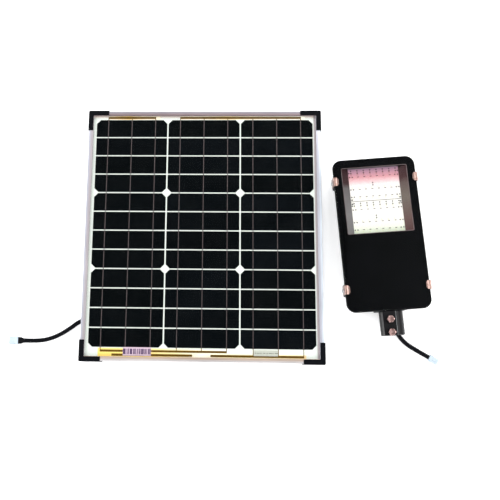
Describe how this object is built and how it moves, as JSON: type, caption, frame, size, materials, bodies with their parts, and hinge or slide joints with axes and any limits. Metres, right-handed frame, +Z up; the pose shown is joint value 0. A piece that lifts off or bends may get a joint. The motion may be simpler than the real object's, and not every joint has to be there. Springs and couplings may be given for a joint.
{
  "type": "solar street lamp",
  "caption": "Solar street lamp kit lying flat: a framed solar panel and a glass-fronted LED lamp head with a clamping pole socket, each with a short plug lead.",
  "frame": {"origin": "on the surface under the middle of the panel and lamp together, leads and plugs left out", "axes": "+Z up, the way both fronts face; +Y towards the tops of the panel and the lamp; +X from the panel to the lamp"},
  "size_m": [0.9011, 0.546, 0.0813],
  "materials": {
    "anodised_aluminium": "satin",
    "black_plastic": "moulded",
    "clear_glass": "polished",
    "clear_film": "clear",
    "silicon": "coated",
    "tinned_copper": "dull",
    "amber_tape": "film",
    "sticker": "printed",
    "white_backsheet": "satin",
    "soft_seal": "soft",
    "terminal_metal": "plated",
    "diode_body": "moulded",
    "cable_jacket": "satin",
    "white_plastic": "moulded",
    "cast_housing": "powder coat",
    "black_print": "gloss",
    "white_board": "satin",
    "led_phosphor": "coated",
    "reflector_sheet": "satin",
    "stainless": "brushed",
    "screw_steel": "plated",
    "socket_casting": "satin",
    "battery_tray_plastic": "moulded",
    "battery_wrap": "shrink film",
    "circuit_board": "solder mask",
    "components": "mixed"
  },
  "bodies": {
    "panel": {"frame_rail_top": "anodised_aluminium", "frame_rail_bottom": "anodised_aluminium", "frame_rail_left": "anodised_aluminium", "frame_rail_right": "anodised_aluminium", "frame_corner_keys": "anodised_aluminium", "frame_corner_caps": "black_plastic", "junction_box_base": "black_plastic", "junction_box_lid": "black_plastic", "junction_box_gland": "black_plastic", "panel_lead_boot": "black_plastic", "panel_glass": "clear_glass", "panel_front_film": "clear_film", "panel_rear_film": "clear_film", "solar_cells": "silicon", "cell_ribbons": "tinned_copper", "bus_ribbons": "tinned_copper", "insulating_tape": "amber_tape", "panel_labels": "sticker", "panel_backsheet": "white_backsheet", "panel_edge_seal": "soft_seal", "junction_box_gasket": "soft_seal", "junction_box_terminals": "terminal_metal", "panel_connector_pins": "terminal_metal", "bypass_diode": "diode_body", "panel_lead": "cable_jacket", "panel_connector": "white_plastic"},
    "lamp": {"lamp_housing": "cast_housing", "glass_gasket": "soft_seal", "lamp_glass": "clear_glass", "glass_print": "black_print", "led_plate": "anodised_aluminium", "m3_screws": "screw_steel", "led_board_upper": "white_board", "led_board_lower": "white_board", "led_chips_upper": "led_phosphor", "led_chips_lower": "led_phosphor", "reflector_left": "reflector_sheet", "reflector_right": "reflector_sheet", "battery_tray": "battery_tray_plastic", "battery_cells": "battery_wrap", "battery_links": "terminal_metal", "battery_strap": "stainless", "controller_board": "circuit_board", "controller_parts": "components", "lamp_wires": "cable_jacket", "pole_socket": "socket_casting", "pole_socket_screws": "screw_steel", "lamp_gland": "black_plastic", "lamp_lead": "cable_jacket", "lamp_connector": "white_plastic"},
    "clamp_bolt_upper": {"clamp_bolt_upper": "screw_steel"},
    "clamp_bolt_lower": {"clamp_bolt_lower": "screw_steel"},
    "glass_clip_upper_left_body": {"glass_clip_upper_left": "stainless", "glass_clip_upper_left_screw": "screw_steel"},
    "glass_clip_lower_left_body": {"glass_clip_lower_left": "stainless", "glass_clip_lower_left_screw": "screw_steel"},
    "glass_clip_upper_right_body": {"glass_clip_upper_right": "stainless", "glass_clip_upper_right_screw": "screw_steel"},
    "glass_clip_lower_right_body": {"glass_clip_lower_right": "stainless", "glass_clip_lower_right_screw": "screw_steel"}
  },
  "joints": [
    {"name": "lamp_lift", "type": "slide", "parent": "panel", "child": "lamp", "axis": [0, 0, 1], "range_m": [0, 0.4]},
    {"name": "clamp_upper_screw", "type": "slide", "parent": "lamp", "child": "clamp_bolt_upper", "axis": [0, 0, 1], "range_m": [-0.004, 0.004]},
    {"name": "clamp_lower_screw", "type": "slide", "parent": "lamp", "child": "clamp_bolt_lower", "axis": [0, 0, 1], "range_m": [-0.004, 0.004]},
    {"name": "glass_clip_upper_left_slide", "type": "slide", "parent": "lamp", "child": "glass_clip_upper_left_body", "axis": [-0.9969, -0.0785, 0], "range_m": [0, 0.012]},
    {"name": "glass_clip_lower_left_slide", "type": "slide", "parent": "lamp", "child": "glass_clip_lower_left_body", "axis": [-0.9969, -0.0785, 0], "range_m": [0, 0.012]},
    {"name": "glass_clip_upper_right_slide", "type": "slide", "parent": "lamp", "child": "glass_clip_upper_right_body", "axis": [0.9969, 0.0785, 0], "range_m": [0, 0.012]},
    {"name": "glass_clip_lower_right_slide", "type": "slide", "parent": "lamp", "child": "glass_clip_lower_right_body", "axis": [0.9969, 0.0785, 0], "range_m": [0, 0.012]}
  ]
}
